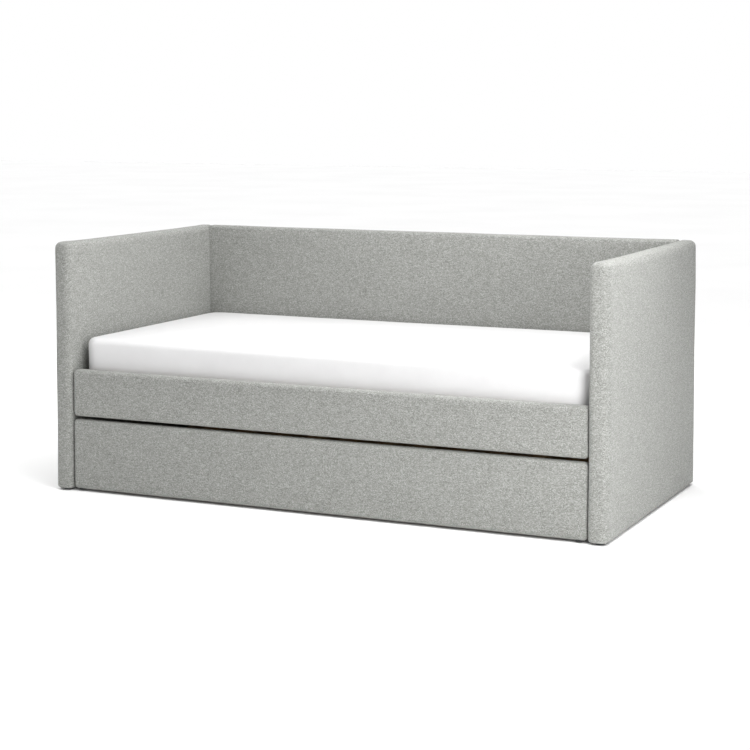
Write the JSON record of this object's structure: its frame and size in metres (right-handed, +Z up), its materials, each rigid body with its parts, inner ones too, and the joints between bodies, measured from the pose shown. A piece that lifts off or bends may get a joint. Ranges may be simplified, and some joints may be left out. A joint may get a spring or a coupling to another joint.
{
  "type": "trundle bed",
  "caption": "Upholstered daybed with flat padded arms and back, a slatted deck with a loose mattress, and a slatted trundle that rolls out to the front.",
  "frame": {"origin": "centre of the overall box on the floor plane", "axes": "+X along the bed towards the right arm, -Y towards the front where the trundle rolls out, +Z up"},
  "size_m": [2.061, 1.061, 0.889],
  "materials": {
    "tweed": "light warm grey woven tweed over foam",
    "mattress_cover": "smooth white knitted cover",
    "dust_cloth": "black non-woven cloth",
    "webbing": "plain woven strap",
    "frame_timber": "sawn timber",
    "honeycomb_board": "paper honeycomb board",
    "plywood": "raw plywood",
    "pine": "planed, unvarnished",
    "zinc_steel": "bright zinc plated",
    "black_steel": "black powder coat",
    "axle_steel": "plain steel rivet",
    "caster_nylon": "black nylon",
    "glide_plastic": "black moulded plastic"
  },
  "bodies": {
    "daybed": {"arm_dust_cover_left": "dust_cloth", "arm_dust_cover_right": "dust_cloth", "arm_frame_left": "frame_timber", "arm_frame_right": "frame_timber", "arm_infill_left": "honeycomb_board", "arm_infill_right": "honeycomb_board", "arm_padding_left": "tweed", "arm_padding_right": "tweed", "back_brackets": "zinc_steel", "back_dust_cover": "dust_cloth", "back_frame": "frame_timber", "back_infill": "honeycomb_board", "back_ledger": "pine", "back_padding": "tweed", "bed_slats": "pine", "bracket_screws": "zinc_steel", "floor_glides": "glide_plastic", "frame_bolts": "zinc_steel", "ledger_screws": "zinc_steel", "rail_board": "plywood", "rail_brackets": "zinc_steel", "rail_ledger": "pine", "rail_padding": "tweed", "slat_screws": "zinc_steel", "slat_straps": "webbing"},
    "mattress": {"mattress": "mattress_cover"},
    "trundle": {"trundle_back_rail": "pine", "trundle_beam": "pine", "trundle_brackets": "zinc_steel", "trundle_front_board": "plywood", "trundle_front_glides": "glide_plastic", "trundle_front_padding": "tweed", "trundle_ledger": "pine", "trundle_screws": "zinc_steel", "trundle_side_left": "pine", "trundle_side_right": "pine", "trundle_slat_screws": "zinc_steel", "trundle_slats": "pine", "caster_forks": "black_steel", "caster_axles": "axle_steel", "caster_screws": "zinc_steel"},
    "wheel_back_left": {"caster_wheel_back_left": "caster_nylon"},
    "wheel_back_right": {"caster_wheel_back_right": "caster_nylon"},
    "wheel_front_left": {"caster_wheel_front_left": "caster_nylon"},
    "wheel_front_right": {"caster_wheel_front_right": "caster_nylon"}
  },
  "joints": [
    {"name": "trundle_slide", "type": "slide", "parent": "daybed", "child": "trundle", "axis": [0, -1, 0], "range_m": [0, 1]},
    {"name": "mattress_lift", "type": "slide", "parent": "daybed", "child": "mattress", "axis": [0, 0, 1], "range_m": [0, 0.4]},
    {"name": "back_left_wheel_turn", "type": "hinge", "parent": "trundle", "child": "wheel_back_left", "pos_m": [-0.9225, 0.407, 0.025], "axis": [1, 0, 0], "continuous": true},
    {"name": "back_right_wheel_turn", "type": "hinge", "parent": "trundle", "child": "wheel_back_right", "pos_m": [0.9225, 0.407, 0.025], "axis": [1, 0, 0], "continuous": true},
    {"name": "front_left_wheel_turn", "type": "hinge", "parent": "trundle", "child": "wheel_front_left", "pos_m": [-0.9225, -0.4548, 0.025], "axis": [1, 0, 0], "continuous": true},
    {"name": "front_right_wheel_turn", "type": "hinge", "parent": "trundle", "child": "wheel_front_right", "pos_m": [0.9225, -0.4548, 0.025], "axis": [1, 0, 0], "continuous": true}
  ],
  "couplings": [
    {"joint": "back_left_wheel_turn", "follows": "trundle_slide", "rad_per_m": 40},
    {"joint": "back_right_wheel_turn", "follows": "trundle_slide", "rad_per_m": 40},
    {"joint": "front_left_wheel_turn", "follows": "trundle_slide", "rad_per_m": 40},
    {"joint": "front_right_wheel_turn", "follows": "trundle_slide", "rad_per_m": 40}
  ]
}
